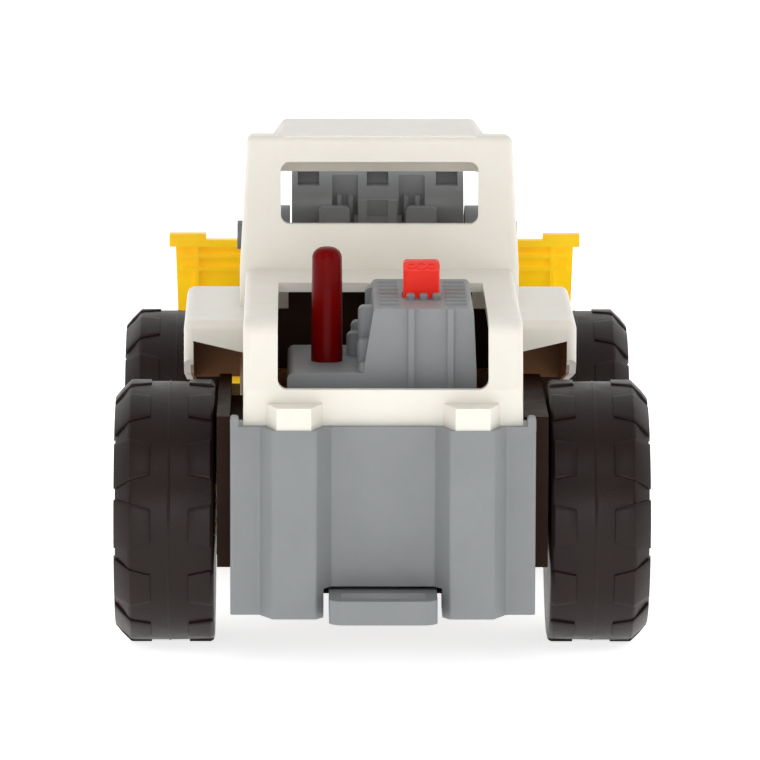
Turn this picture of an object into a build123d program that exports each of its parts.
from build123d import *
import math
import os

# Toy front loader, in millimetres.
# +X is the vehicle's right, +Y its forward direction (towards the bucket), +Z up.
# The ground is Z = 0 and the origin is the middle of the footprint.

# ---- running gear ----------------------------------------------------------
TYRE_DIA = 60.0
TYRE_WIDTH = 22.8
TYRE_OUTER_X = 60.8
TYRE_BORE_DIA = 36.0
TYRE_INNER_BORE_DIA = 12.4
TYRE_WALL = 3.2
SHOULDER_WIDTH = 3.6
SHOULDER_DROP = 4.1
INNER_EDGE = 0.8
AXLE_DIA = 3.0
AXLE_CLEARANCE = 0.06
SEAT_CLEARANCE = 0.02
RIM_WALL = 2.0
RIM_INSET = 0.6
RIM_INNER_GAP = 0.2
RIM_WEB_INSET = 6.0
RIM_WEB_THICKNESS = 3.0
RIM_WINDOWS = 5
RIM_WINDOW_DIA = 7.0
HUB_DIA = 12.0
HUB_PROUD = 1.6
HUB_END_WALL = 2.0
HUB_INNER_GAP = 0.5
WHEELBASE = 108.0
REAR_AXLE_Y = -69.0
FRONT_AXLE_Y = REAR_AXLE_Y + WHEELBASE
AXLE_Z = TYRE_DIA / 2
TYRE_INNER_X = TYRE_OUTER_X - TYRE_WIDTH

# ---- general fits ----------------------------------------------------------
WALL = 2.2
PANEL_GAP = 0.3
PIN_CLEARANCE = 0.05
SCREW_DIA = 2.4
SCREW_HOLE_DIA = 2.8
SCREW_HEAD_DIA = 4.6
SCREW_HEAD_HEIGHT = 1.7
SCREW_CORE_DIA = 2.44
# How far a feature starts inside the piece it grows from, or a cut starts outside it.
SINK = 1.0

# ---- lower chassis ---------------------------------------------------------
TUB_HALF = 28.8
TUB_BOTTOM_Z = 16.0
TUB_TOP_Z = 50.0
TUB_REAR_Y = REAR_AXLE_Y - 28.0
TUB_FRONT_Y = FRONT_AXLE_Y + 14.0
TYRE_GAP = 0.7
HOUSING_OUTER_X = TYRE_INNER_X - TYRE_GAP
HOUSING_HALF_Y = 12.0
HOUSING_BOTTOM_Z = TUB_BOTTOM_Z + 6.0
HOUSING_TOP_Z = AXLE_Z + 10.0
POD_INNER_X = 31.9
POD_FRONT_Y = REAR_AXLE_Y + 33.0
POD_TOP_Z = 56.4
POD_NOTCH_X = 34.4
POD_NOTCH_Z = 51.3
DECK_THICKNESS = 2.4
DECK_GAP = 0.3
BULKHEAD_Y = (REAR_AXLE_Y + 29.0, REAR_AXLE_Y + 31.0)
BULKHEAD_HALF = 21.3
BULKHEAD_LOW_Z = 72.1
POST_DIA = 7.2
POST_X = 24.0
REAR_POST_Y = REAR_AXLE_Y + 25.0
FRONT_POST_Y = FRONT_AXLE_Y - 38.0
POST_HEAD_Z = 42.0
SHELL_POST_HEIGHT = 6.0
BATTERY_Y = REAR_AXLE_Y + 60.0
BATTERY_HALF_X = 20.0
BATTERY_HALF_Y = 12.0
BATTERY_ROOF = 2.0
CELL_DIA = 11.6
CELL_HEIGHT = 5.4
CELL_PITCH = 12.6
CONTACT_THICKNESS = 0.4
COVER_THICKNESS = 1.8
COVER_SCREW_Y = BATTERY_Y + BATTERY_HALF_Y - 3.4
COVER_BOSS_DIA = 5.0
SPEAKER_DIA = 20.0
SPEAKER_HEIGHT = 5.0
SPEAKER_Y = REAR_AXLE_Y + 26.0
SPEAKER_RIM = 1.6
GRILLE_SLOTS = 5
GRILLE_SLOT_WIDTH = 1.2
GRILLE_PITCH = 3.0
GRILLE_LENGTH = 12.0

# ---- hood, cab and side boxes, one shell ------------------------------------
HOOD_HALF = 31.3
HOOD_TOP_Z = 79.0
HOOD_REAR_Y = REAR_AXLE_Y - 36.0
HOOD_BEND_Y = REAR_AXLE_Y - 32.0
HOOD_BEND_RADIUS = 4.0
SHELL_BOTTOM_Z = TUB_TOP_Z - 2.0
OPENING_HALF = 23.6
OPENING_FRONT_Y = REAR_AXLE_Y + 25.0
OPENING_BOTTOM_Z = 63.8
OPENING_CORNER = 2.2
CAB_REAR_Y = REAR_AXLE_Y + 47.0
CAB_FRONT_Y = FRONT_AXLE_Y - 24.0
CAB_HALF_LOW = 32.7
CAB_HALF_TOP = 31.0
ROOF_REAR_Z = 110.5
ROOF_FRONT_Z = 106.9
ROOF_FRONT_INSET = 4.0
HUMP_HALF_BASE = 26.6
HUMP_HALF_TOP = 22.5
HUMP_TOP_Z = 110.4
HUMP_START = 0.6
HUMP_EDGE = 2.0
REAR_WINDOW_HALF = 23.1
REAR_WINDOW_Z = (89.6, 104.3)
WINDOW_CORNER = 2.1
CAB_EDGE = 1.6
HOOD_EDGE = 1.4
BOX_EDGE = 2.0
WINDSHIELD_HALF = 25.0
WINDSHIELD_Z = (80.0, 97.5)
SIDE_WINDOW_Z = (82.0, 103.0)
SIDE_WINDOW_MARGIN = 6.0
BOX_OUTER_X = 45.5
BOX_TOP_Z = 70.0
BOX_REAR_Y = REAR_AXLE_Y + 25.0
BOX_FRONT_Y = FRONT_AXLE_Y - 28.0
BOX_LIP_Z = 63.2
BOX_LIP_OUTER_Z = 65.3
BOX_LIP_INNER_Z = 62.3
BOX_WALL_REAR_Z = 56.7
BOX_WALL_FRONT_Z = 48.5
BUMP_X = (13.5, 26.1)
BUMP_FLAT_X = (16.1, 23.8)
BUMP_TOP_Z = 60.7

# ---- rear bumper and tow loop -----------------------------------------------
BUMPER_HALF = 34.2
BUMPER_BOTTOM_Z = 13.0
BUMPER_TOP_Z = 55.7
BUMPER_FACE_Y = REAR_AXLE_Y - 38.0
BUMPER_DEPTH = 5.5
BUMPER_WALL = 3.0
BUMPER_EDGE = 0.8
FLUTE_IN = (11.5, 14.9)
FLUTE_OUT = (24.7, 27.7)
EAR_WIDTH = 1.9
EAR_EDGE = 0.63
EAR_TOP_Z = 57.8
EAR_DEPTH = 4.0
NOTCH_HALF = 13.3
NOTCH_TOP_Z = 19.5
BUMPER_SCREW_X = 19.0
BUMPER_SCREW_Z = 34.0
BUMPER_BOSS_DIA = 8.0
LOOP_HALF = 12.1
LOOP_REAR_Y = REAR_AXLE_Y - 52.0
LOOP_Z = (13.3, 18.7)
LOOP_CORNER = 3.2
LOOP_BAR = 3.0
LOOP_SLOT_HALF = 9.6
LOOP_SLOT_LENGTH = 7.0
TONGUE_HALF = 7.0
TONGUE_LENGTH = 12.0
LOOP_SCREW_SINK = 1.3
LOOP_SCREW_HEAD = 1.0

# ---- engine block with its lit button ----------------------------------------
ENGINE_REAR_Y = REAR_AXLE_Y - 26.0
ENGINE_FRONT_Y = REAR_AXLE_Y + 20.0
ENGINE_X_LOW = (-4.4, 21.1)
ENGINE_X_TOP = (-2.0, 20.4)
ENGINE_TOP_Z = 80.6
ENGINE_WALL = 2.0
ENGINE_EDGE = 1.2
BASE_X = (-21.5, -5.0)
BASE_TOP_Z = 66.0
BASE_EDGE = 1.6
BASE_FRONT_Y = REAR_AXLE_Y + 15.0
RIB_X = (6.4, 15.2)
RIB_WIDTH = 1.4
RIB_PROUD = 0.9
FIN_LENGTH = 4.4
FIN_ROUND = 1.3
# Each fin: start along Y from the engine's rear face, left side, top.
FINS = (
    (1.0, -5.6, 68.2),
    (5.8, -5.7, 72.6),
    (11.8, -5.5, 79.2),
    (35.0, -3.7, 80.2),
    (25.0, -8.0, 71.2),
    (30.0, -7.0, 73.0),
)
RIDGE_COUNT = 7
RIDGE_PITCH = 5.6
RIDGE_RADIUS = 1.2
RIDGE_HEIGHT = 0.5
RIDGE_FIRST_Y = ENGINE_REAR_Y + 6.4
RIDGE_MARGIN = 1.4
RIDGE_BUTTON_GAP = 1.0
NUB_X = (6.5, 9.4, 12.3)
NUB_WIDTH = 1.9
NUB_LENGTH = 3.4
NUB_HEIGHT = 1.3
NUB_ROUND = 0.9
NUB_GAP = 0.4
NUB_TOP_ROUND = 0.5
STACK_X = -12.5
STACK_Y = REAR_AXLE_Y - 7.6
STACK_DIA_LOW = 7.3
STACK_DIA_TOP = 6.8
STACK_TOP_Z = 92.0
STACK_SEAT_DEPTH = 5.0
STACK_DOME_HEIGHT = 2.72
STACK_DOME_ROUND = 2.58
STACK_BORE_DIA = 5.4
STACK_BORE_TOP_Z = 76.0
LAMP_DIA = 5.0
LAMP_ROUND = 2.4
LAMP_TOP_Z = 66.0
LAMP_LEG_DIA = 0.6
LAMP_LEG_SPACING = 2.54
LAMP_BODY_Z = 56.0
BUTTON_X = 8.95
BUTTON_SIZE = 8.3
BUTTON_REAR_Y = REAR_AXLE_Y - 8.8
BUTTON_LOW_Z = 86.7
BUTTON_HIGH_Z = 88.3
BUTTON_FIT = 0.2
BUTTON_ROUND = 1.0
BUTTON_EDGE = 0.7
BUTTON_TRAVEL = 1.5
BUTTON_FLANGE = 12.4
BUTTON_FLANGE_HEIGHT = 1.6
BOARD_LENGTH = 26.0
BOARD_WIDTH = 16.0
BOARD_THICKNESS = 1.2
SWITCH_SIZE = 6.0
SWITCH_HEIGHT = 4.0
SWITCH_BODY_HEIGHT = 3.2
SWITCH_TIP_DIA = 3.0
SWITCH_GAP = 0.1
SPRING_WIRE = 0.6
SPRING_RADIUS = 5.1
SPRING_TURNS = 3
SPRING_SEAT_GAP = 0.05
BOARD_POST_DIA = 5.0

# ---- arm tower ----------------------------------------
TOWER_HALF = 19.6
TOWER_REAR_Y = FRONT_AXLE_Y - 20.0
TOWER_FRONT_Y = FRONT_AXLE_Y + 6.0
TOWER_NECK_Z = 82.0
TOWER_NECK_FRONT_Y = FRONT_AXLE_Y - 1.64
TOWER_FRONT_Z = 68.4
TOWER_HOLLOW_Z = 63.8
TOWER_WALL = 2.6
PIVOT_Y = FRONT_AXLE_Y - 11.0
PIVOT_Z = 80.0
PIVOT_PIN_DIA = 4.0
PIVOT_HEAD_DIA = 7.0
PIVOT_HEAD_HEIGHT = 1.2
DRUM_Y = FRONT_AXLE_Y - 9.0
DRUM_Z = 87.5
DRUM_RADIUS = 9.2
DRUM_HALF = 20.6
DRUM_HOLES_X = (-16.6, 0.0, 16.6)
DRUM_HOLE_WIDTH = 5.2
DRUM_HOLE_HEIGHT = 3.0
DRUM_HOLE_Z = 94.2
DRUM_HOLE_FLOOR = 2.0
DRUM_SLOTS_X = (-7.8, 8.2)
DRUM_SLOT_WIDTH = 6.2
DRUM_SLOT_DEPTH = 4.0
DRUM_RIB_WIDTH = 1.1
DRUM_RIB_SPACING = 2.7
DRUM_RIB_INSET = 1.0
DRUM_RIB_TOP_Z = 90.5
LUG_X = 10.4
LUG_WIDTH = 7.4
LUG_TOP_Z = 88.3
LUG_THICKNESS = 3.2
LUG_EDGE = 1.2
CLEVIS_WIDTH = 9.4
CLEVIS_PRONG = 2.2
CLEVIS_TOP_Z = 89.8
CLEVIS_BASE_WIDTH = 11.4
CLEVIS_BASE_Z = 86.0
TOWER_SCREW_X = 11.0
TOWER_BOSS_HEIGHT = 10.0
TOWER_SCREW_REACH = 9.0
TOWER_BRIDGE = 2.0
CLEVIS_DEPTH = 2.0

# ---- lift arm ----------------------------------------
ARM_INNER_X = 21.0
ARM_OUTER_X = 32.2
ARM_PIVOT_RADIUS = 7.2
ARM_TIP_RADIUS = 6.0
ARM_ELBOW_Y = FRONT_AXLE_Y + 24.0
ARM_ELBOW_Z = 66.0
ARM_DEPTH = 12.5
HINGE_Y = FRONT_AXLE_Y + 46.0
HINGE_Z = 38.0
CROSS_TUBE_RADIUS = 5.0
CROSS_TUBE_Y = ARM_ELBOW_Y
CROSS_TUBE_Z = ARM_ELBOW_Z

# ---- bucket ----------------------------------------
BUCKET_RIM_HALF = 51.2
BUCKET_HALF_TOP = 49.7
BUCKET_HALF_LOW = 48.0
BUCKET_TOP_Z = 70.0
BUCKET_BOTTOM_Z = 20.0
BUCKET_BACK_Y = HINGE_Y + 8.0
BUCKET_BACK_TOP_Y = HINGE_Y + 6.0
BUCKET_EDGE_Y = FRONT_AXLE_Y + 82.0
BUCKET_WALL = 2.0
BUCKET_HEEL_RADIUS = 10.0
RIM_BAND_Z = 1.7
RIM_BAND_PROUD = 1.5
TAB_WIDTH = 9.2
TAB_RISE = 1.5
BUCKET_RIB_Z = (65.9, 62.6)
BUCKET_RIB_SIZE = 1.0
RIDGE_X = 43.9
RIDGE_PROUD = 0.6
EAR_THICKNESS = 3.0
EAR_GAP = 0.4
EAR_RADIUS = 5.5
HINGE_PIN_DIA = 4.0
HINGE_HEAD_DIA = 6.4
HINGE_HEAD_HEIGHT = 1.2

BIG = 400.0


# ---- small helpers ----------------------------------------
def block(x, y, z):
    """Box between two corners, each axis given as (low, high)."""
    size = Box(x[1] - x[0], y[1] - y[0], z[1] - z[0])
    return Pos(sum(x) / 2, sum(y) / 2, sum(z) / 2) * size


def centred(half_x, y, z):
    """Box that is symmetric about the middle plane."""
    return block((-half_x, half_x), y, z)


def side_profile(points, x):
    """Outline of (y, z) points carried from x[0] to x[1]."""
    face = Plane.YZ * Polygon(*points, align=None)
    return Pos(x[0], 0, 0) * extrude(face, x[1] - x[0], dir=(1, 0, 0))


def end_profile(points, y):
    """Outline of (x, z) points carried from y[0] to y[1]."""
    face = Plane.XZ * Polygon(*points, align=None)
    return Pos(0, y[0], 0) * extrude(face, y[1] - y[0], dir=(0, 1, 0))


def plan_profile(points, z):
    """Outline of (x, y) points carried from z[0] to z[1]."""
    face = Plane.XY * Polygon(*points, align=None)
    return Pos(0, 0, z[0]) * extrude(face, z[1] - z[0], dir=(0, 0, 1))


def rod_x(radius, x, y, z):
    """Round bar along X from x[0] to x[1]."""
    return Pos(sum(x) / 2, y, z) * Rot(0, 90, 0) * Cylinder(radius, x[1] - x[0])


def rod_y(radius, y, x, z):
    """Round bar along Y from y[0] to y[1]."""
    return Pos(x, sum(y) / 2, z) * Rot(90, 0, 0) * Cylinder(radius, y[1] - y[0])


def rod_z(radius, z, x, y):
    """Round bar along Z from z[0] to z[1]."""
    return Pos(x, y, sum(z) / 2) * Cylinder(radius, z[1] - z[0])


def mirrored(points):
    """Closes a right-hand outline of (x, other) points with its mirror image."""
    return list(points) + [(-x, other) for x, other in reversed(points)]


def group(solids):
    """Several separate solids in one node."""
    return Compound(children=list(solids))


# ---- wheels ----------------------------------------
def tyre(side, y):
    """Hollow tyre: tread wall, outer side wall, and an inner wall that reaches in to the hub."""
    inner, outer = TYRE_INNER_X, TYRE_OUTER_X
    top, bore = TYRE_DIA / 2, TYRE_BORE_DIA / 2
    hub_bore = TYRE_INNER_BORE_DIA / 2
    outline = [
        (inner, hub_bore),
        (inner, top - INNER_EDGE),
        (inner + INNER_EDGE, top),
        (outer - SHOULDER_WIDTH, top),
        (outer, top - SHOULDER_DROP),
        (outer, bore),
        (outer - TYRE_WALL, bore),
        (outer - TYRE_WALL, top - SHOULDER_DROP - TYRE_WALL / 2),
        (outer - SHOULDER_WIDTH - TYRE_WALL / 2, top - TYRE_WALL),
        (inner + TYRE_WALL, top - TYRE_WALL),
        (inner + TYRE_WALL, hub_bore),
    ]
    section = Plane.XY * Polygon(*outline, align=None)
    ring = revolve(section, Axis.X)
    if side < 0:
        ring = mirror(ring, Plane.YZ)
    return Pos(0, y, AXLE_Z) * ring


def rim(side, y):
    """Dished rim with a hub that takes the axle's end."""
    inner = TYRE_INNER_X + TYRE_WALL + RIM_INNER_GAP
    outer = TYRE_OUTER_X - RIM_INSET
    radius = TYRE_BORE_DIA / 2 - SEAT_CLEARANCE
    web = outer - RIM_WEB_INSET
    barrel = rod_x(radius, (inner, outer), 0, 0) - rod_x(radius - RIM_WALL, (inner, outer), 0, 0)
    disc = rod_x(radius - RIM_WALL / 2, (web - RIM_WEB_THICKNESS, web), 0, 0)
    for index in range(RIM_WINDOWS):
        turn = 2 * math.pi * index / RIM_WINDOWS
        place = (radius - RIM_WALL + HUB_DIA / 2) / 2
        disc -= rod_x(RIM_WINDOW_DIA / 2, (inner, outer), place * math.sin(turn), place * math.cos(turn))
    hub_start = HOUSING_OUTER_X + HUB_INNER_GAP
    hub = rod_x(HUB_DIA / 2, (hub_start, web + HUB_PROUD), 0, 0)
    bore = rod_x(AXLE_DIA / 2 + SEAT_CLEARANCE, (hub_start, web + HUB_PROUD - HUB_END_WALL), 0, 0)
    wheel = barrel + disc + hub - bore
    if side < 0:
        wheel = mirror(wheel, Plane.YZ)
    return Pos(0, y, AXLE_Z) * wheel


def axle(y):
    """Steel rod that joins the two wheels of one axle."""
    web = TYRE_OUTER_X - RIM_INSET - RIM_WEB_INSET
    end = web + HUB_PROUD - HUB_END_WALL - PANEL_GAP
    return rod_x(AXLE_DIA / 2, (-end, end), y, AXLE_Z)


# ---- chassis ----------------------------------------
def post_places():
    """The four screw posts that hold chassis, deck and body shell together."""
    return [(side * POST_X, y) for side in (-1, 1) for y in (REAR_POST_Y, FRONT_POST_Y)]


def chassis():
    """Black tub with axle housings, battery well, screw posts and front platform."""
    floor_z = TUB_BOTTOM_Z + WALL
    inner = TUB_HALF - WALL
    body = centred(TUB_HALF, (TUB_REAR_Y, TUB_FRONT_Y), (TUB_BOTTOM_Z, TUB_TOP_Z))
    body -= centred(inner, (TUB_REAR_Y + WALL, TUB_FRONT_Y - WALL), (floor_z, TUB_TOP_Z))
    platform = centred(
        TUB_HALF, (CAB_FRONT_Y + PANEL_GAP, TUB_FRONT_Y), (TUB_TOP_Z - WALL, TUB_TOP_Z)
    )
    body += platform
    for y in (REAR_AXLE_Y, FRONT_AXLE_Y):
        for side in (-1, 1):
            x = sorted((side * inner, side * HOUSING_OUTER_X))
            reach = (y - HOUSING_HALF_Y, y + HOUSING_HALF_Y)
            body += block(x, reach, (HOUSING_BOTTOM_Z, HOUSING_TOP_Z))
        bore = AXLE_DIA / 2 + AXLE_CLEARANCE
        body -= rod_x(bore, (-BIG, BIG), y, AXLE_Z)
    body += rear_pods(inner)
    body -= rod_x(AXLE_DIA / 2 + AXLE_CLEARANCE, (-BIG, BIG), REAR_AXLE_Y, AXLE_Z)
    for x, y in post_places():
        body += rod_z(POST_DIA / 2, (TUB_BOTTOM_Z, TUB_TOP_Z), x, y)
    well_y = (BATTERY_Y - BATTERY_HALF_Y, BATTERY_Y + BATTERY_HALF_Y)
    roof_z = battery_roof_z()
    body += centred(
        BATTERY_HALF_X + WALL, (well_y[0] - WALL, well_y[1] + WALL), (TUB_BOTTOM_Z, roof_z + BATTERY_ROOF)
    )
    body -= centred(BATTERY_HALF_X, well_y, (TUB_BOTTOM_Z, roof_z))
    boss_z = (TUB_BOTTOM_Z + COVER_THICKNESS, roof_z + BATTERY_ROOF)
    body += rod_z(COVER_BOSS_DIA / 2, boss_z, 0, COVER_SCREW_Y)
    body -= rod_z(SCREW_CORE_DIA / 2, boss_z, 0, COVER_SCREW_Y)
    for x, y in post_places():
        body -= rod_z(SCREW_HOLE_DIA / 2, (TUB_BOTTOM_Z, TUB_TOP_Z), x, y)
        body -= rod_z(SCREW_HEAD_DIA / 2 + PANEL_GAP, (TUB_BOTTOM_Z, POST_HEAD_Z), x, y)
    for index in range(GRILLE_SLOTS):
        x = (index - (GRILLE_SLOTS - 1) / 2) * GRILLE_PITCH
        slot_x = (x - GRILLE_SLOT_WIDTH / 2, x + GRILLE_SLOT_WIDTH / 2)
        slot_y = (SPEAKER_Y - GRILLE_LENGTH / 2, SPEAKER_Y + GRILLE_LENGTH / 2)
        body -= block(slot_x, slot_y, (TUB_BOTTOM_Z, floor_z))
    ring = SPEAKER_DIA / 2 + PANEL_GAP
    collar = rod_z(ring + SPEAKER_RIM, (TUB_BOTTOM_Z + WALL / 2, floor_z + SPEAKER_HEIGHT / 2), 0, SPEAKER_Y)
    collar -= rod_z(ring, (TUB_BOTTOM_Z, TUB_TOP_Z), 0, SPEAKER_Y)
    body += collar
    for side in (-1, 1):
        x = side * BUMPER_SCREW_X
        body -= rod_y(SCREW_HOLE_DIA / 2, (TUB_REAR_Y, TUB_REAR_Y + WALL), x, BUMPER_SCREW_Z)
        tower_x = side * TOWER_SCREW_X
        body -= rod_z(SCREW_HOLE_DIA / 2, (TUB_TOP_Z - WALL, TUB_TOP_Z), tower_x, tower_screw_y())
        access = rod_z(SCREW_HEAD_DIA / 2 + PANEL_GAP, (TUB_BOTTOM_Z, floor_z), tower_x, tower_screw_y())
        body -= access
    pocket_half = TONGUE_HALF + PANEL_GAP
    pocket_end = TUB_REAR_Y + TONGUE_LENGTH + PANEL_GAP
    roof = (TUB_REAR_Y, pocket_end + WALL)
    body += centred(pocket_half + WALL, roof, (TUB_BOTTOM_Z, LOOP_Z[1] + WALL))
    body -= centred(pocket_half, (TUB_REAR_Y, pocket_end), (TUB_BOTTOM_Z, LOOP_Z[1]))
    tongue_y = TUB_REAR_Y + TONGUE_LENGTH / 2
    body -= rod_z(SCREW_HOLE_DIA / 2, (TUB_BOTTOM_Z, LOOP_Z[1] + WALL), 0, tongue_y)
    return body


def rear_pods(inner):
    """Black blocks between the tub and the rear wheels, beside the hood's foot."""
    y = (TUB_REAR_Y, POD_FRONT_Y)
    step_z = SHELL_BOTTOM_Z - PANEL_GAP
    pods = None
    for side in (-1, 1):
        low = block(sorted((side * inner, side * HOUSING_OUTER_X)), y, (HOUSING_BOTTOM_Z, step_z))
        high = block(sorted((side * POD_INNER_X, side * HOUSING_OUTER_X)), y, (step_z, POD_TOP_Z))
        pod = low + high
        pods = pod if pods is None else pods + pod
    notch = block((-POD_NOTCH_X, -POD_INNER_X), y, (POD_NOTCH_Z, POD_TOP_Z))
    return pods - notch


def battery_roof_z():
    """Underside of the battery well's roof, just over the cells and contacts."""
    return TUB_BOTTOM_Z + COVER_THICKNESS + CONTACT_THICKNESS + CELL_HEIGHT + CONTACT_THICKNESS


def tower_screw_y():
    return (TOWER_REAR_Y + TOWER_FRONT_Y) / 2


def deck():
    """Black plate over the tub: floor of the cab, seat of the engine block and their bulkhead."""
    half = HOOD_HALF - WALL - DECK_GAP
    y = (TUB_REAR_Y, CAB_FRONT_Y - WALL - DECK_GAP)
    plate = centred(half, y, (TUB_TOP_Z, deck_top_z()))
    for x, post_y in post_places():
        plate -= rod_z(SCREW_HOLE_DIA / 2, (TUB_TOP_Z, deck_top_z()), x, post_y)
    for y_post in board_post_places():
        plate += rod_z(BOARD_POST_DIA / 2, (TUB_TOP_Z, board_z()), BUTTON_X, y_post)
    plate += centred(half, BULKHEAD_Y, (TUB_TOP_Z, BULKHEAD_LOW_Z))
    plate += centred(BULKHEAD_HALF, BULKHEAD_Y, (TUB_TOP_Z, HOOD_TOP_Z - WALL - DECK_GAP))
    return plate


def deck_top_z():
    return TUB_TOP_Z + DECK_THICKNESS


def chassis_screws():
    """Four long screws from below, through post and deck into the body shell."""
    screws = []
    for x, y in post_places():
        head = rod_z(SCREW_HEAD_DIA / 2, (POST_HEAD_Z - SCREW_HEAD_HEIGHT, POST_HEAD_Z), x, y)
        shank = rod_z(SCREW_DIA / 2, (POST_HEAD_Z, deck_top_z() + SHELL_POST_HEIGHT - SINK), x, y)
        screws.append(head + shank)
    return group(screws)


def battery_cover():
    """Flush cover under the battery well, held by one screw."""
    half_x = BATTERY_HALF_X - PANEL_GAP
    half_y = BATTERY_HALF_Y - PANEL_GAP
    y = (BATTERY_Y - half_y, BATTERY_Y + half_y)
    cover = centred(half_x, y, (TUB_BOTTOM_Z, TUB_BOTTOM_Z + COVER_THICKNESS))
    return cover - rod_z(SCREW_HOLE_DIA / 2, (TUB_BOTTOM_Z, TUB_TOP_Z), 0, COVER_SCREW_Y)


def cover_screw():
    """Captive screw of the battery cover, its head just under the cover."""
    z = TUB_BOTTOM_Z
    head = rod_z(SCREW_HEAD_DIA / 2, (z - SCREW_HEAD_HEIGHT / 2, z), 0, COVER_SCREW_Y)
    return head + rod_z(SCREW_DIA / 2, (z, battery_roof_z()), 0, COVER_SCREW_Y)


def cell_x(index):
    return (index - 1) * CELL_PITCH


def battery_cells():
    """Three button cells side by side."""
    low = TUB_BOTTOM_Z + COVER_THICKNESS + CONTACT_THICKNESS
    y = BATTERY_Y - BATTERY_HALF_Y / 4
    return group(rod_z(CELL_DIA / 2, (low, low + CELL_HEIGHT), cell_x(i), y) for i in range(3))


def battery_contacts():
    """Metal strips over and under the cells that put them in series."""
    low = TUB_BOTTOM_Z + COVER_THICKNESS
    high = low + CONTACT_THICKNESS + CELL_HEIGHT
    y = BATTERY_Y - BATTERY_HALF_Y / 4
    reach = (y - CELL_DIA / 4, y + CELL_DIA / 4)
    strips = []
    for start, end, z in ((0, 1, high), (2, 2, high), (0, 0, low), (1, 2, low)):
        x = (cell_x(start) - CELL_DIA / 3, cell_x(end) + CELL_DIA / 3)
        strips.append(block(x, reach, (z, z + CONTACT_THICKNESS)))
    return group(strips)


def speaker():
    """Small round speaker that faces down through the floor's grille."""
    z = TUB_BOTTOM_Z + WALL
    magnet = SPEAKER_DIA / 4
    return rod_z(SPEAKER_DIA / 2, (z, z + SPEAKER_HEIGHT / 2), 0, SPEAKER_Y) + rod_z(
        magnet, (z, z + SPEAKER_HEIGHT), 0, SPEAKER_Y
    )


# ---- body shell ----------------------------------------
def cab_outline(inset):
    """Cab from behind, its sides leaning in from the hood's level up."""
    low, high = CAB_HALF_LOW - inset, CAB_HALF_TOP - inset
    return mirrored([(low, SHELL_BOTTOM_Z), (low, HOOD_TOP_Z), (high, ROOF_REAR_Z)])


def cab_side(inset):
    """Cab from the side, its roof falling gently to the front."""
    rear, front = CAB_REAR_Y + inset, CAB_FRONT_Y - inset
    return [
        (rear, SHELL_BOTTOM_Z),
        (rear, ROOF_REAR_Z - inset),
        (front - ROOF_FRONT_INSET, ROOF_FRONT_Z - inset),
        (front, ROOF_FRONT_Z - ROOF_FRONT_INSET - inset),
        (front, SHELL_BOTTOM_Z),
    ]


def cab_solid(inset):
    across = end_profile(cab_outline(inset), (CAB_REAR_Y + inset, CAB_FRONT_Y - inset))
    solid = across & side_profile(cab_side(inset), (-BIG, BIG))
    if not inset:
        upper = solid.edges().filter_by(lambda edge: edge.center().Z > HOOD_TOP_Z + CAB_EDGE)
        solid = fillet(upper, CAB_EDGE)
    return solid


def hood_solid(inset):
    """Hood from its rear face to the cab."""
    top, rear, bend = HOOD_TOP_Z - inset, HOOD_REAR_Y + inset, HOOD_BEND_Y + inset
    outline = [
        (CAB_REAR_Y + WALL, SHELL_BOTTOM_Z),
        (CAB_REAR_Y + WALL, top),
        (bend, top),
        (rear, OPENING_BOTTOM_Z),
        (rear, BUMPER_TOP_Z),
        (TUB_REAR_Y, BUMPER_TOP_Z),
        (TUB_REAR_Y, SHELL_BOTTOM_Z),
    ]
    half = HOOD_HALF - inset
    solid = side_profile(outline, (-half, half))
    if not inset:
        bend_edge = solid.edges().filter_by(Axis.X).group_by(Axis.Z)[-1].sort_by(Axis.Y)[0]
        solid = fillet(bend_edge, HOOD_BEND_RADIUS)
        side_edges = solid.edges().filter_by(
            lambda edge: abs(edge.center().X) > half - 1 and edge.center().Z > OPENING_BOTTOM_Z
        )
        solid = fillet(side_edges, HOOD_EDGE)
    return solid


def side_box(side):
    """Running board: an open-bottomed box with a lip at the rear."""
    x = sorted((side * (CAB_HALF_LOW - WALL), side * BOX_OUTER_X))
    outline = [
        (BOX_REAR_Y, BOX_LIP_Z - WALL),
        (BOX_REAR_Y, BOX_TOP_Z),
        (BOX_FRONT_Y, BOX_TOP_Z),
        (BOX_FRONT_Y, BOX_WALL_FRONT_Z),
        (BOX_FRONT_Y - WALL * 3, BOX_WALL_FRONT_Z),
        (BOX_REAR_Y + WALL * 3, BOX_WALL_REAR_Z),
    ]
    solid = side_profile(outline, x)
    outermost = -1 if side > 0 else 0
    corner = solid.edges().filter_by(Axis.Z).group_by(Axis.Y)[0].sort_by(Axis.X)[outermost]
    brow = solid.edges().filter_by(Axis.X).group_by(Axis.Z)[-1].sort_by(Axis.Y)[0]
    rail = solid.edges().filter_by(Axis.Y).group_by(Axis.Z)[-1].sort_by(Axis.X)[outermost]
    solid = fillet([corner, brow, rail], BOX_EDGE)
    hollow_x = sorted((side * (CAB_HALF_LOW - WALL * 2), side * (BOX_OUTER_X - WALL)))
    hollow = block(hollow_x, (BOX_REAR_Y + WALL, BOX_FRONT_Y - WALL), (TUB_BOTTOM_Z, BOX_TOP_Z - WALL))
    lip = [
        (side * (CAB_HALF_LOW - WALL), 0),
        (side * (CAB_HALF_LOW - WALL), BOX_LIP_INNER_Z),
        (side * (BOX_OUTER_X - WALL), BOX_LIP_OUTER_Z),
        (side * (BOX_OUTER_X - WALL), 0),
    ]
    return solid - hollow - end_profile(lip, (BOX_REAR_Y - WALL, BOX_REAR_Y + WALL * 2))


def window_block(half, y, z):
    """Rounded window cutter through a wall that faces Y."""
    cutter = centred(half, y, z)
    return fillet(cutter.edges().filter_by(Axis.Y), WINDOW_CORNER)


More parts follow.
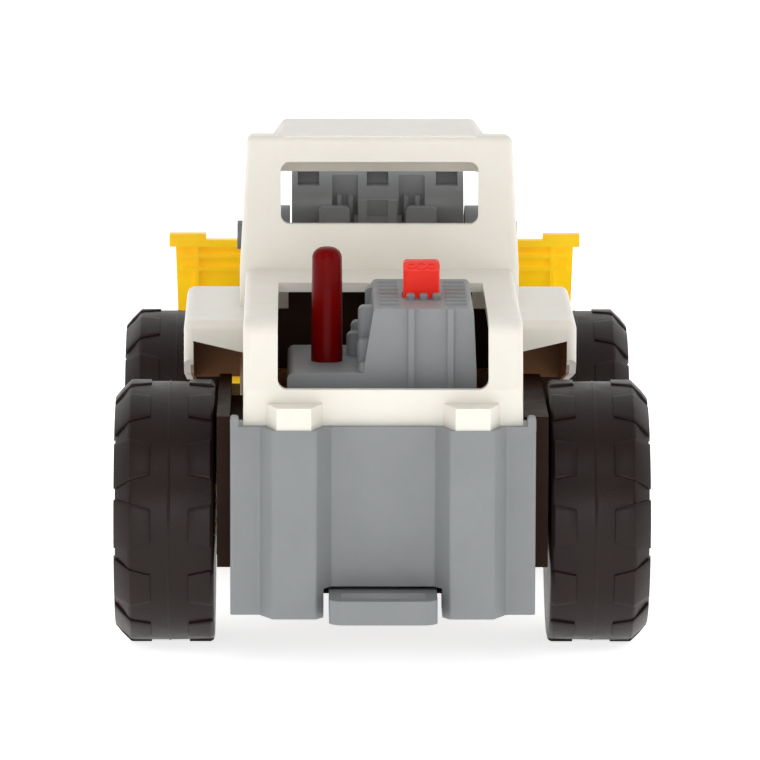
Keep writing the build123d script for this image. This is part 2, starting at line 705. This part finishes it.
def hood_opening():
    """Cut through the hood's top and over its bend down the rear face."""
    cutter = centred(OPENING_HALF, (HOOD_REAR_Y - WALL, OPENING_FRONT_Y), (OPENING_BOTTOM_Z, BIG / 4))
    lower = cutter.edges().filter_by(Axis.Y).group_by(Axis.Z)[0]
    return fillet(lower, OPENING_CORNER)


def body_shell():
    """Ivory moulding: hood, cab with its roof, and both side boxes."""
    inner_cab = cab_solid(WALL)
    outer = hood_solid(0) + cab_solid(0)
    for side in (-1, 1):
        outer += side_box(side)
    hump = end_profile(
        mirrored([(HUMP_HALF_BASE, ROOF_FRONT_Z - WALL), (HUMP_HALF_TOP, HUMP_TOP_Z)]),
        (CAB_REAR_Y + HUMP_START, CAB_FRONT_Y - ROOF_FRONT_INSET),
    )
    outer += fillet(hump.edges().filter_by(Axis.Y).group_by(Axis.Z)[-1], HUMP_EDGE)
    hood_inner = hood_solid(WALL)
    shell = outer - hood_inner - inner_cab
    shell -= centred(TUB_HALF + PANEL_GAP, (TUB_REAR_Y, TUB_FRONT_Y), (0, TUB_TOP_Z))
    shell -= hood_opening()
    shell -= window_block(REAR_WINDOW_HALF, (CAB_REAR_Y - WALL, CAB_REAR_Y + WALL * 2), REAR_WINDOW_Z)
    front = (CAB_FRONT_Y - WALL * 2, CAB_FRONT_Y + WALL)
    shell -= window_block(WINDSHIELD_HALF, front, WINDSHIELD_Z)
    window_y = (CAB_REAR_Y + SIDE_WINDOW_MARGIN, CAB_FRONT_Y - SIDE_WINDOW_MARGIN)
    side_window = block((-BIG, BIG), window_y, SIDE_WINDOW_Z)
    shell -= fillet(side_window.edges().filter_by(Axis.X), WINDOW_CORNER)
    for side in (-1, 1):
        face = [
            (side * BUMP_X[0], HOOD_REAR_Y + WALL / 2),
            (side * BUMP_X[0], HOOD_REAR_Y),
            (side * BUMP_FLAT_X[0], BUMPER_FACE_Y - BUMPER_DEPTH + PANEL_GAP),
            (side * BUMP_FLAT_X[1], BUMPER_FACE_Y - BUMPER_DEPTH + PANEL_GAP),
            (side * BUMP_X[1], HOOD_REAR_Y),
            (side * BUMP_X[1], HOOD_REAR_Y + WALL / 2),
        ]
        shell += plan_profile(face, (BUMPER_TOP_Z, BUMP_TOP_Z))
    top_z = deck_top_z() + SHELL_POST_HEIGHT
    for x, y in post_places():
        side = math.copysign(1, x)
        shell += rod_z(POST_DIA / 2, (deck_top_z(), top_z), x, y)
        half = HOOD_HALF if y < CAB_REAR_Y else CAB_HALF_LOW
        rib_x = sorted((x + side * SCREW_DIA, side * (half - WALL / 2)))
        shell += block(rib_x, (y - WALL / 2, y + WALL / 2), (deck_top_z(), top_z))
        shell -= rod_z(SCREW_CORE_DIA / 2, (deck_top_z(), top_z), x, y)
    return shell


# ---- bumper and tow loop ----------------------------------------
def bumper_outline(inset):
    """Corrugated rear face, seen from above."""
    face = BUMPER_FACE_Y + inset
    proud = face - BUMPER_DEPTH
    right = [
        (FLUTE_IN[0] + inset / 2, face),
        (FLUTE_IN[1] + inset / 2, proud),
        (FLUTE_OUT[0] - inset / 2, proud),
        (FLUTE_OUT[1] - inset / 2, face),
        (BUMPER_HALF - inset, face),
        (BUMPER_HALF - inset, TUB_REAR_Y),
    ]
    return right + [(-x, y) for x, y in reversed(right)]


def rear_bumper():
    """Grey counterweight, hollow towards the chassis, with two screw bosses."""
    body = plan_profile(bumper_outline(0), (BUMPER_BOTTOM_Z, BUMPER_TOP_Z))
    uprights = body.edges().filter_by(Axis.Z).filter_by(lambda edge: edge.center().Y < TUB_REAR_Y - SINK)
    body = fillet(uprights, BUMPER_EDGE)
    hollow_z = (BUMPER_BOTTOM_Z + BUMPER_WALL, BUMPER_TOP_Z - BUMPER_WALL)
    body -= plan_profile(bumper_outline(BUMPER_WALL), hollow_z)
    for side in (-1, 1):
        x = side * BUMPER_SCREW_X
        boss = (BUMPER_FACE_Y - BUMPER_DEPTH + BUMPER_WALL / 2, TUB_REAR_Y)
        body += rod_y(BUMPER_BOSS_DIA / 2, boss, x, BUMPER_SCREW_Z)
        hole = (BUMPER_FACE_Y + BUMPER_WALL, TUB_REAR_Y)
        body -= rod_y(SCREW_CORE_DIA / 2, hole, x, BUMPER_SCREW_Z)
        ear_x = sorted((side * (BUMPER_HALF - EAR_WIDTH), side * BUMPER_HALF))
        ear = block(ear_x, (BUMPER_FACE_Y, BUMPER_FACE_Y + EAR_DEPTH), (BUMPER_TOP_Z - SINK, EAR_TOP_Z))
        body += fillet(ear.edges().filter_by(Axis.Y).group_by(Axis.Z)[-1], EAR_EDGE)
    notch = centred(NOTCH_HALF, (LOOP_REAR_Y, TUB_REAR_Y), (BUMPER_BOTTOM_Z, NOTCH_TOP_Z))
    return body - notch


def bumper_screws():
    """Two screws from inside the tub into the bumper's bosses."""
    screws = []
    inside = TUB_REAR_Y + WALL
    for side in (-1, 1):
        x = side * BUMPER_SCREW_X
        head = rod_y(SCREW_HEAD_DIA / 2, (inside, inside + SCREW_HEAD_HEIGHT), x, BUMPER_SCREW_Z)
        tip = BUMPER_FACE_Y + BUMPER_WALL + 1
        screws.append(head + rod_y(SCREW_DIA / 2, (tip, inside), x, BUMPER_SCREW_Z))
    return group(screws)


def tow_loop():
    """Grey loop with an open slot, on a tongue that lies flush in a pocket of the tub's floor."""
    loop = centred(LOOP_HALF, (LOOP_REAR_Y, TUB_REAR_Y), LOOP_Z)
    corners = loop.edges().filter_by(Axis.Z).group_by(Axis.Y)[0]
    loop = fillet(corners, LOOP_CORNER)
    slot_y = (LOOP_REAR_Y + LOOP_BAR, LOOP_REAR_Y + LOOP_BAR + LOOP_SLOT_LENGTH)
    slot = centred(LOOP_SLOT_HALF, slot_y, (0, TUB_TOP_Z))
    loop -= fillet(slot.edges().filter_by(Axis.Z), LOOP_BAR / 2)
    tongue_y = (TUB_REAR_Y - WALL, TUB_REAR_Y + TONGUE_LENGTH)
    tongue = centred(TONGUE_HALF, tongue_y, (TUB_BOTTOM_Z, LOOP_Z[1]))
    y = TUB_REAR_Y + TONGUE_LENGTH / 2
    head_z = (TUB_BOTTOM_Z, TUB_BOTTOM_Z + LOOP_SCREW_SINK)
    tongue -= rod_z(SCREW_HEAD_DIA / 2 + PANEL_GAP, head_z, 0, y)
    return loop + tongue - rod_z(SCREW_HOLE_DIA / 2, LOOP_Z, 0, y)


def loop_screw():
    """Screw through the tongue, with its nut inside the tub."""
    y = TUB_REAR_Y + TONGUE_LENGTH / 2
    floor_z = LOOP_Z[1] + WALL
    sunk = TUB_BOTTOM_Z + LOOP_SCREW_SINK
    head = rod_z(SCREW_HEAD_DIA / 2, (sunk - LOOP_SCREW_HEAD, sunk), 0, y)
    nut = rod_z(SCREW_HEAD_DIA / 2, (floor_z, floor_z + SCREW_HEAD_HEIGHT), 0, y)
    return head + rod_z(SCREW_DIA / 2, (sunk, floor_z), 0, y) + nut


# ---- engine block ----------------------------------------
def button_y():
    return BUTTON_REAR_Y + BUTTON_SIZE / 2


def board_z():
    """Underside of the switch board: top plate, flange, travel and switch hang from it."""
    flange_low = ENGINE_TOP_Z - ENGINE_WALL - BUTTON_FIT - BUTTON_FLANGE_HEIGHT
    return flange_low - BUTTON_TRAVEL - SWITCH_GAP - SWITCH_HEIGHT - BOARD_THICKNESS


def board_post_places():
    reach = BOARD_LENGTH / 2 - BOARD_POST_DIA / 2
    return (button_y() - reach, button_y() + reach)


def engine_block():
    """Grey engine moulding, hollow from below: tall block, low base and their fins."""
    foot = deck_top_z()
    outline = [
        (ENGINE_X_LOW[0], foot),
        (ENGINE_X_LOW[0], BASE_TOP_Z),
        (ENGINE_X_TOP[0], ENGINE_TOP_Z),
        (ENGINE_X_TOP[1], ENGINE_TOP_Z),
        (ENGINE_X_LOW[1], BASE_TOP_Z),
        (ENGINE_X_LOW[1], foot),
    ]
    tall = end_profile(outline, (ENGINE_REAR_Y, ENGINE_FRONT_Y))
    crown = tall.edges().filter_by(Axis.Y).group_by(Axis.Z)[-1]
    tall = fillet(crown, ENGINE_EDGE)
    base = block((BASE_X[0], ENGINE_X_LOW[0] + WALL), (ENGINE_REAR_Y, BASE_FRONT_Y), (foot, BASE_TOP_Z))
    base = fillet(base.edges().filter_by(Axis.Y).group_by(Axis.Z)[-1].sort_by(Axis.X)[0], BASE_EDGE)
    body = tall + base
    for start, left, top in FINS:
        fin_y = (ENGINE_REAR_Y + start, ENGINE_REAR_Y + start + FIN_LENGTH)
        fin = block((left, ENGINE_X_TOP[0] + ENGINE_WALL), fin_y, (BASE_TOP_Z - SINK, top))
        outer_edges = fin.edges().filter_by(Axis.Z).sort_by(Axis.X)[:2]
        top_edges = fin.edges().filter_by(Axis.Y).group_by(Axis.Z)[-1].sort_by(Axis.X)[:1]
        body += fillet(list(outer_edges) + list(top_edges), FIN_ROUND)
    for x in RIB_X:
        rib_x = (x - RIB_WIDTH / 2, x + RIB_WIDTH / 2)
        body += block(rib_x, (ENGINE_REAR_Y - RIB_PROUD, ENGINE_REAR_Y + SINK), (foot, ENGINE_TOP_Z))
    hollow = [
        (ENGINE_X_LOW[0] + ENGINE_WALL, foot),
        (ENGINE_X_LOW[0] + ENGINE_WALL, BASE_TOP_Z),
        (ENGINE_X_TOP[0] + ENGINE_WALL, ENGINE_TOP_Z - ENGINE_WALL),
        (ENGINE_X_TOP[1] - ENGINE_WALL, ENGINE_TOP_Z - ENGINE_WALL),
        (ENGINE_X_LOW[1] - ENGINE_WALL, BASE_TOP_Z),
        (ENGINE_X_LOW[1] - ENGINE_WALL, foot),
    ]
    body -= end_profile(hollow, (ENGINE_REAR_Y + ENGINE_WALL, ENGINE_FRONT_Y - ENGINE_WALL))
    half = BUTTON_SIZE / 2 + BUTTON_FIT
    left_end = BUTTON_X - half - RIDGE_BUTTON_GAP
    right_start = BUTTON_X + half + RIDGE_BUTTON_GAP
    ridge_z = ENGINE_TOP_Z + RIDGE_HEIGHT - RIDGE_RADIUS
    for index in range(RIDGE_COUNT):
        y = RIDGE_FIRST_Y + index * RIDGE_PITCH
        body += rod_x(RIDGE_RADIUS, (ENGINE_X_TOP[0] + RIDGE_MARGIN, left_end), y, ridge_z)
        body += rod_x(RIDGE_RADIUS, (right_start, ENGINE_X_TOP[1] - RIDGE_MARGIN), y, ridge_z)
    nub_front = button_y() - half - NUB_GAP
    for x in NUB_X:
        nub_x = (x - NUB_WIDTH / 2, x + NUB_WIDTH / 2)
        nub_z = (ENGINE_TOP_Z - SINK, ENGINE_TOP_Z + NUB_HEIGHT)
        nub = block(nub_x, (nub_front - NUB_LENGTH, nub_front), nub_z)
        nub = fillet(nub.edges().filter_by(Axis.Z), NUB_ROUND)
        body += fillet(nub.edges().group_by(Axis.Z)[-1], NUB_TOP_ROUND)
    hole_y = (button_y() - half, button_y() + half)
    body -= block((BUTTON_X - half, BUTTON_X + half), hole_y, (ENGINE_TOP_Z - WALL, BIG))
    body -= rod_z(STACK_DIA_LOW / 2 + SEAT_CLEARANCE, (BASE_TOP_Z - STACK_SEAT_DEPTH, BIG), STACK_X, STACK_Y)
    body -= rod_z(LAMP_DIA / 2 + BUTTON_FIT, (foot, BIG), STACK_X, STACK_Y)
    return body


def exhaust_stack():
    """Red see-through stack with a domed top, hollow over its lamp."""
    low = BASE_TOP_Z - STACK_SEAT_DEPTH
    top_radius = STACK_DIA_TOP / 2
    dome_z = STACK_TOP_Z - STACK_DOME_HEIGHT
    with BuildPart() as stack:
        with BuildSketch(Plane.XY.offset(low)):
            Circle(STACK_DIA_LOW / 2)
        with BuildSketch(Plane.XY.offset(dome_z)):
            Circle(top_radius)
        loft()
        extrude(stack.faces().sort_by(Axis.Z)[-1], amount=STACK_TOP_Z - dome_z)
        top_edge = stack.edges().filter_by(GeomType.CIRCLE).group_by(Axis.Z)[-1]
        fillet(top_edge, STACK_DOME_ROUND)
    solid = Pos(STACK_X, STACK_Y, 0) * stack.part
    return solid - rod_z(STACK_BORE_DIA / 2, (low, STACK_BORE_TOP_Z), STACK_X, STACK_Y)


def stack_lamp():
    """Round lamp that stands in the stack's foot, on two leads."""
    lamp = rod_z(LAMP_DIA / 2, (LAMP_BODY_Z, LAMP_TOP_Z), STACK_X, STACK_Y)
    lamp = fillet(lamp.edges().group_by(Axis.Z)[-1], LAMP_ROUND)
    for side in (-1, 1):
        x = STACK_X + side * LAMP_LEG_SPACING / 2
        lamp += rod_z(LAMP_LEG_DIA / 2, (deck_top_z(), LAMP_BODY_Z + SINK), x, STACK_Y)
    return lamp


def light_button():
    """Orange push button: sloped head, and a flange that keeps it in."""
    half = BUTTON_SIZE / 2
    y = (button_y() - half, button_y() + half)
    flange_top = ENGINE_TOP_Z - ENGINE_WALL - BUTTON_FIT
    outline = [
        (y[0], flange_top - BUTTON_FLANGE_HEIGHT),
        (y[0], BUTTON_LOW_Z),
        (button_y(), BUTTON_HIGH_Z),
        (y[1], BUTTON_HIGH_Z),
        (y[1], flange_top - BUTTON_FLANGE_HEIGHT),
    ]
    head = side_profile(outline, (BUTTON_X - half, BUTTON_X + half))
    head = fillet(head.edges().filter_by(Axis.Z), BUTTON_ROUND)
    crown = head.faces().filter_by(lambda face: face.normal_at().Z > BUTTON_ROUND / 2)
    head = fillet(crown.sort_by(Axis.Z)[-1].outer_wire().edges().sort_by(Axis.Y)[-1], BUTTON_EDGE)
    wide = BUTTON_FLANGE / 2
    flange = block(
        (BUTTON_X - wide, BUTTON_X + wide),
        (button_y() - wide, button_y() + wide),
        (flange_top - BUTTON_FLANGE_HEIGHT, flange_top),
    )
    return head + flange


def switch_board():
    """Circuit board on two deck posts under the button."""
    x = (BUTTON_X - BOARD_WIDTH / 2, BUTTON_X + BOARD_WIDTH / 2)
    y = (button_y() - BOARD_LENGTH / 2, button_y() + BOARD_LENGTH / 2)
    return block(x, y, (board_z(), board_z() + BOARD_THICKNESS))


def push_switch():
    """Square push switch on the board."""
    half = SWITCH_SIZE / 2
    low = board_z() + BOARD_THICKNESS
    body = block(
        (BUTTON_X - half, BUTTON_X + half),
        (button_y() - half, button_y() + half),
        (low, low + SWITCH_BODY_HEIGHT),
    )
    return body + rod_z(SWITCH_TIP_DIA / 2, (low, low + SWITCH_HEIGHT), BUTTON_X, button_y())


def button_spring():
    """Coil spring between board and flange, around the switch."""
    low = board_z() + BOARD_THICKNESS + SPRING_WIRE / 2 + SPRING_SEAT_GAP
    flange_low = ENGINE_TOP_Z - ENGINE_WALL - BUTTON_FIT - BUTTON_FLANGE_HEIGHT
    height = flange_low - SPRING_WIRE / 2 - SPRING_SEAT_GAP - low
    path = Helix(pitch=height / SPRING_TURNS, height=height, radius=SPRING_RADIUS)
    wire = Plane(origin=path @ 0, z_dir=path % 0) * Circle(SPRING_WIRE / 2)
    coil = sweep(wire, path=path, is_frenet=True)
    return Pos(BUTTON_X, button_y(), low) * coil


# ---- arm tower ----------------------------------------
def arm_tower():
    """Grey tower in front of the cab: hollow pedestal, cross drum, lugs and clevis."""
    profile = [
        (TOWER_REAR_Y, TUB_TOP_Z),
        (TOWER_REAR_Y, TOWER_NECK_Z),
        (TOWER_NECK_FRONT_Y, TOWER_NECK_Z),
        (TOWER_FRONT_Y, TOWER_FRONT_Z),
        (TOWER_FRONT_Y, TUB_TOP_Z),
    ]
    body = side_profile(profile, (-TOWER_HALF, TOWER_HALF))
    body += rod_x(DRUM_RADIUS, (-DRUM_HALF, DRUM_HALF), DRUM_Y, DRUM_Z)
    rear = DRUM_Y - DRUM_RADIUS
    for x in DRUM_HOLES_X:
        hole_x = (x - DRUM_HOLE_WIDTH / 2, x + DRUM_HOLE_WIDTH / 2)
        hole_z = (DRUM_HOLE_Z - DRUM_HOLE_HEIGHT / 2, DRUM_HOLE_Z + DRUM_HOLE_HEIGHT / 2)
        body -= block(hole_x, (rear - SINK, DRUM_Y - DRUM_HOLE_FLOOR), hole_z)
    for x in DRUM_SLOTS_X:
        slot_x = (x - DRUM_SLOT_WIDTH / 2, x + DRUM_SLOT_WIDTH / 2)
        slot = block(slot_x, (rear - SINK, rear + DRUM_SLOT_DEPTH), (TOWER_NECK_Z, BIG))
        for shift in (-DRUM_RIB_SPACING / 2, DRUM_RIB_SPACING / 2):
            rib_x = (x + shift - DRUM_RIB_WIDTH / 2, x + shift + DRUM_RIB_WIDTH / 2)
            rib_y = (rear + DRUM_RIB_INSET, rear + DRUM_SLOT_DEPTH)
            slot -= block(rib_x, rib_y, (TOWER_NECK_Z, DRUM_RIB_TOP_Z))
        body -= slot
    lug_y = (TOWER_REAR_Y - LUG_THICKNESS, TOWER_REAR_Y + SINK)
    lug_low = TOWER_NECK_Z - DRUM_RADIUS
    for side in (-1, 1):
        lug_x = (side * LUG_X - LUG_WIDTH / 2, side * LUG_X + LUG_WIDTH / 2)
        lug = block(lug_x, lug_y, (lug_low, LUG_TOP_Z))
        body += fillet(lug.edges().filter_by(Axis.Y).group_by(Axis.Z)[-1], LUG_EDGE)
    base = CLEVIS_BASE_WIDTH / 2
    body += centred(base, (TOWER_REAR_Y - SINK, TOWER_REAR_Y + CLEVIS_DEPTH), (lug_low, CLEVIS_BASE_Z))
    prong_in = CLEVIS_WIDTH / 2 - CLEVIS_PRONG
    clevis_y = (TOWER_REAR_Y - CLEVIS_DEPTH, TOWER_REAR_Y + CLEVIS_DEPTH)
    clevis = centred(CLEVIS_WIDTH / 2, clevis_y, (lug_low, CLEVIS_TOP_Z))
    body += clevis - centred(prong_in, (clevis_y[0], TOWER_REAR_Y), (lug_low, CLEVIS_TOP_Z))
    inner = TOWER_HALF - TOWER_WALL
    hollow_top = PIVOT_Z - PIVOT_PIN_DIA - TOWER_WALL
    hollow = centred(
        inner, (TOWER_REAR_Y + TOWER_WALL, TOWER_FRONT_Y - TOWER_WALL), (TUB_TOP_Z, TOWER_HOLLOW_Z)
    )
    hollow += centred(inner, (TOWER_REAR_Y + TOWER_WALL, PIVOT_Y + TOWER_WALL * 2), (TUB_TOP_Z, hollow_top))
    body -= hollow
    for side in (-1, 1):
        x = side * TOWER_SCREW_X
        boss_z = (TUB_TOP_Z, TUB_TOP_Z + TOWER_BOSS_HEIGHT)
        boss = rod_z(POST_DIA / 2, boss_z, x, tower_screw_y())
        bridge_x = (x - TOWER_BRIDGE / 2, x + TOWER_BRIDGE / 2)
        bridge = block(bridge_x, (TOWER_REAR_Y + SINK, TOWER_FRONT_Y - SINK), boss_z)
        body += boss + bridge
        body -= rod_z(SCREW_CORE_DIA / 2, boss_z, x, tower_screw_y())
    return body - rod_x(PIVOT_PIN_DIA / 2 + SEAT_CLEARANCE, (-BIG, BIG), PIVOT_Y, PIVOT_Z)


def tower_screws():
    """Two screws from inside the tub up into the tower's bosses."""
    screws = []
    low = TUB_TOP_Z - WALL
    for side in (-1, 1):
        x = side * TOWER_SCREW_X
        head = rod_z(SCREW_HEAD_DIA / 2, (low - SCREW_HEAD_HEIGHT, low), x, tower_screw_y())
        screws.append(head + rod_z(SCREW_DIA / 2, (low, TUB_TOP_Z + TOWER_SCREW_REACH), x, tower_screw_y()))
    return group(screws)


def arm_pivot_pin():
    """Pin through tower and both arms, with a head at each end."""
    end = ARM_OUTER_X + PANEL_GAP
    pin = rod_x(PIVOT_PIN_DIA / 2, (-end, end), PIVOT_Y, PIVOT_Z)
    for side in (-1, 1):
        x = sorted((side * end, side * (end + PIVOT_HEAD_HEIGHT)))
        pin += rod_x(PIVOT_HEAD_DIA / 2, x, PIVOT_Y, PIVOT_Z)
    return pin


# ---- lift arm and bucket ----------------------------------------
def arm_side(side):
    """One side of the lift arm: two straight links round an elbow."""
    x = sorted((side * ARM_INNER_X, side * ARM_OUTER_X))
    points = ((PIVOT_Y, PIVOT_Z, ARM_PIVOT_RADIUS), (ARM_ELBOW_Y, ARM_ELBOW_Z, ARM_DEPTH / 2))
    tip = (HINGE_Y, HINGE_Z, ARM_TIP_RADIUS)
    arm = rod_x(ARM_PIVOT_RADIUS, x, PIVOT_Y, PIVOT_Z)
    for start, end in ((points[0], points[1]), (points[1], tip)):
        arm += rod_x(end[2], x, end[0], end[1])
        length = math.hypot(end[0] - start[0], end[1] - start[1])
        across = ((start[1] - end[1]) / length, (end[0] - start[0]) / length)
        link = [
            (start[0] + across[0] * start[2], start[1] + across[1] * start[2]),
            (end[0] + across[0] * end[2], end[1] + across[1] * end[2]),
            (end[0] - across[0] * end[2], end[1] - across[1] * end[2]),
            (start[0] - across[0] * start[2], start[1] - across[1] * start[2]),
        ]
        arm += side_profile(link, x)
    return arm


def lift_arm():
    """Grey lift arm: two sides joined by a cross tube at the elbows."""
    arm = arm_side(-1) + arm_side(1)
    reach = (-ARM_INNER_X - SINK, ARM_INNER_X + SINK)
    arm += rod_x(CROSS_TUBE_RADIUS, reach, CROSS_TUBE_Y, CROSS_TUBE_Z)
    arm -= rod_x(PIVOT_PIN_DIA / 2 + PIN_CLEARANCE, (-BIG, BIG), PIVOT_Y, PIVOT_Z)
    arm -= rod_x(HINGE_PIN_DIA / 2 + PIN_CLEARANCE, (-BIG, BIG), HINGE_Y, HINGE_Z)
    return arm


def bucket_outline(inset):
    """Bucket from the side: back, round heel and floor up to the cutting edge."""
    heel_y = BUCKET_BACK_Y + inset
    heel_z = BUCKET_BOTTOM_Z + inset
    radius = BUCKET_HEEL_RADIUS
    points = [(BUCKET_BACK_TOP_Y + inset, BUCKET_TOP_Z), (heel_y, heel_z + radius)]
    for step in (1, 2, 3):
        turn = math.pi / 2 * step / 4
        points.append((heel_y + radius * (1 - math.cos(turn)), heel_z + radius * (1 - math.sin(turn))))
    points.append((heel_y + radius, heel_z))
    points.append((BUCKET_EDGE_Y, heel_z))
    if inset:
        points.append((BUCKET_EDGE_Y + SINK, BUCKET_BOTTOM_Z + inset))
        points.append((BUCKET_EDGE_Y + SINK, BUCKET_TOP_Z + BUCKET_WALL))
        points.append((BUCKET_BACK_TOP_Y + inset, BUCKET_TOP_Z + BUCKET_WALL))
    else:
        points.append((BUCKET_EDGE_Y, BUCKET_BOTTOM_Z + BUCKET_WALL))
        points.append((BUCKET_BACK_TOP_Y + BUCKET_HEEL_RADIUS, BUCKET_TOP_Z))
    return points


def bucket():
    """Yellow bucket: tapered scoop, rim band with corner tabs, and hinge ears."""
    section = mirrored([(BUCKET_HALF_LOW, BUCKET_BOTTOM_Z), (BUCKET_HALF_TOP, BUCKET_TOP_Z)])
    outer = side_profile(bucket_outline(0), (-BIG, BIG)) & end_profile(section, (0, BIG))
    low_corner = (BUCKET_HALF_LOW - BUCKET_WALL, BUCKET_BOTTOM_Z)
    high_corner = (BUCKET_HALF_TOP - BUCKET_WALL, BUCKET_TOP_Z + BUCKET_WALL)
    inner_section = mirrored([low_corner, high_corner])
    inner = side_profile(bucket_outline(BUCKET_WALL), (-BIG, BIG)) & end_profile(inner_section, (0, BIG))
    body = outer - inner
    band_y = (BUCKET_BACK_TOP_Y - RIM_BAND_PROUD, BUCKET_BACK_TOP_Y + BUCKET_WALL)
    band_z = (BUCKET_TOP_Z - RIM_BAND_Z, BUCKET_TOP_Z)
    body += centred(BUCKET_RIM_HALF, band_y, band_z)
    for side in (-1, 1):
        lip_x = sorted((side * (BUCKET_HALF_TOP - BUCKET_WALL), side * BUCKET_RIM_HALF))
        lip_y = (band_y[0], BUCKET_BACK_TOP_Y + BUCKET_HEEL_RADIUS)
        body += block(lip_x, lip_y, band_z)
        tab_x = sorted((side * (BUCKET_RIM_HALF - TAB_WIDTH), side * BUCKET_RIM_HALF))
        body += block(tab_x, band_y, (BUCKET_TOP_Z - RIM_BAND_Z, BUCKET_TOP_Z + TAB_RISE))
        ridge_x = sorted((side * RIDGE_X, side * (RIDGE_X + BUCKET_RIB_SIZE)))
        ridge_y = (BUCKET_BACK_TOP_Y - RIDGE_PROUD, BUCKET_BACK_Y + SINK)
        body += block(ridge_x, ridge_y, (HINGE_Z, BUCKET_TOP_Z - SINK))
    for z in BUCKET_RIB_Z:
        rib_z = (z - BUCKET_RIB_SIZE / 2, z + BUCKET_RIB_SIZE / 2)
        rib_y = (BUCKET_BACK_TOP_Y - BUCKET_RIB_SIZE / 2, BUCKET_BACK_Y + SINK)
        body += centred(BUCKET_HALF_LOW, rib_y, rib_z)
    for side in (-1, 1):
        for x in ear_places():
            ear_x = sorted((side * x[0], side * x[1]))
            body += rod_x(EAR_RADIUS, ear_x, HINGE_Y, HINGE_Z)
            plate = (HINGE_Y, BUCKET_BACK_Y + SINK)
            body += block(ear_x, plate, (HINGE_Z - EAR_RADIUS, HINGE_Z + EAR_RADIUS))
    bore = rod_x(HINGE_PIN_DIA / 2 + SEAT_CLEARANCE, (-BUCKET_HALF_LOW, BUCKET_HALF_LOW), HINGE_Y, HINGE_Z)
    return body - bore


def ear_places():
    """Inner and outer ear, each side of the arm's tip."""
    inner = (ARM_INNER_X - EAR_GAP - EAR_THICKNESS, ARM_INNER_X - EAR_GAP)
    outer = (ARM_OUTER_X + EAR_GAP, ARM_OUTER_X + EAR_GAP + EAR_THICKNESS)
    return (inner, outer)


def bucket_pin(side):
    """Hinge pin through two ears and the arm's tip, headed at both ends."""
    (low, _), (_, high) = ear_places()
    x = sorted((side * (low - PANEL_GAP / 2), side * (high + PANEL_GAP / 2)))
    pin = rod_x(HINGE_PIN_DIA / 2, x, HINGE_Y, HINGE_Z)
    pin += rod_x(HINGE_HEAD_DIA / 2, (x[0] - HINGE_HEAD_HEIGHT, x[0]), HINGE_Y, HINGE_Z)
    return pin + rod_x(HINGE_HEAD_DIA / 2, (x[1], x[1] + HINGE_HEAD_HEIGHT), HINGE_Y, HINGE_Z)


# ---- write one file for each piece ----------------------------------------
def all_pieces():
    pieces = {
        "chassis": chassis(),
        "deck": deck(),
        "body_shell": body_shell(),
        "rear_bumper": rear_bumper(),
        "tow_loop": tow_loop(),
        "engine_block": engine_block(),
        "exhaust_stack": exhaust_stack(),
        "stack_lamp": stack_lamp(),
        "light_button": light_button(),
        "button_spring": button_spring(),
        "switch_board": switch_board(),
        "push_switch": push_switch(),
        "speaker": speaker(),
        "battery_cells": battery_cells(),
        "battery_contacts": battery_contacts(),
        "battery_cover": battery_cover(),
        "cover_screw": cover_screw(),
        "chassis_screws": chassis_screws(),
        "bumper_screws": bumper_screws(),
        "loop_screw": loop_screw(),
        "tower_screws": tower_screws(),
        "arm_tower": arm_tower(),
        "arm_pivot_pin": arm_pivot_pin(),
        "lift_arm": lift_arm(),
        "bucket": bucket(),
        "bucket_pin_left": bucket_pin(-1),
        "bucket_pin_right": bucket_pin(1),
    }
    for end, y in (("rear", REAR_AXLE_Y), ("front", FRONT_AXLE_Y)):
        pieces[end + "_axle"] = axle(y)
        for name, side in (("left", -1), ("right", 1)):
            pieces["_".join(("tyre", end, name))] = tyre(side, y)
            pieces["_".join(("rim", end, name))] = rim(side, y)
    return pieces


os.makedirs("parts", exist_ok=True)
for name, piece in all_pieces().items():
    export_step(piece, os.path.join("parts", name + ".step"))
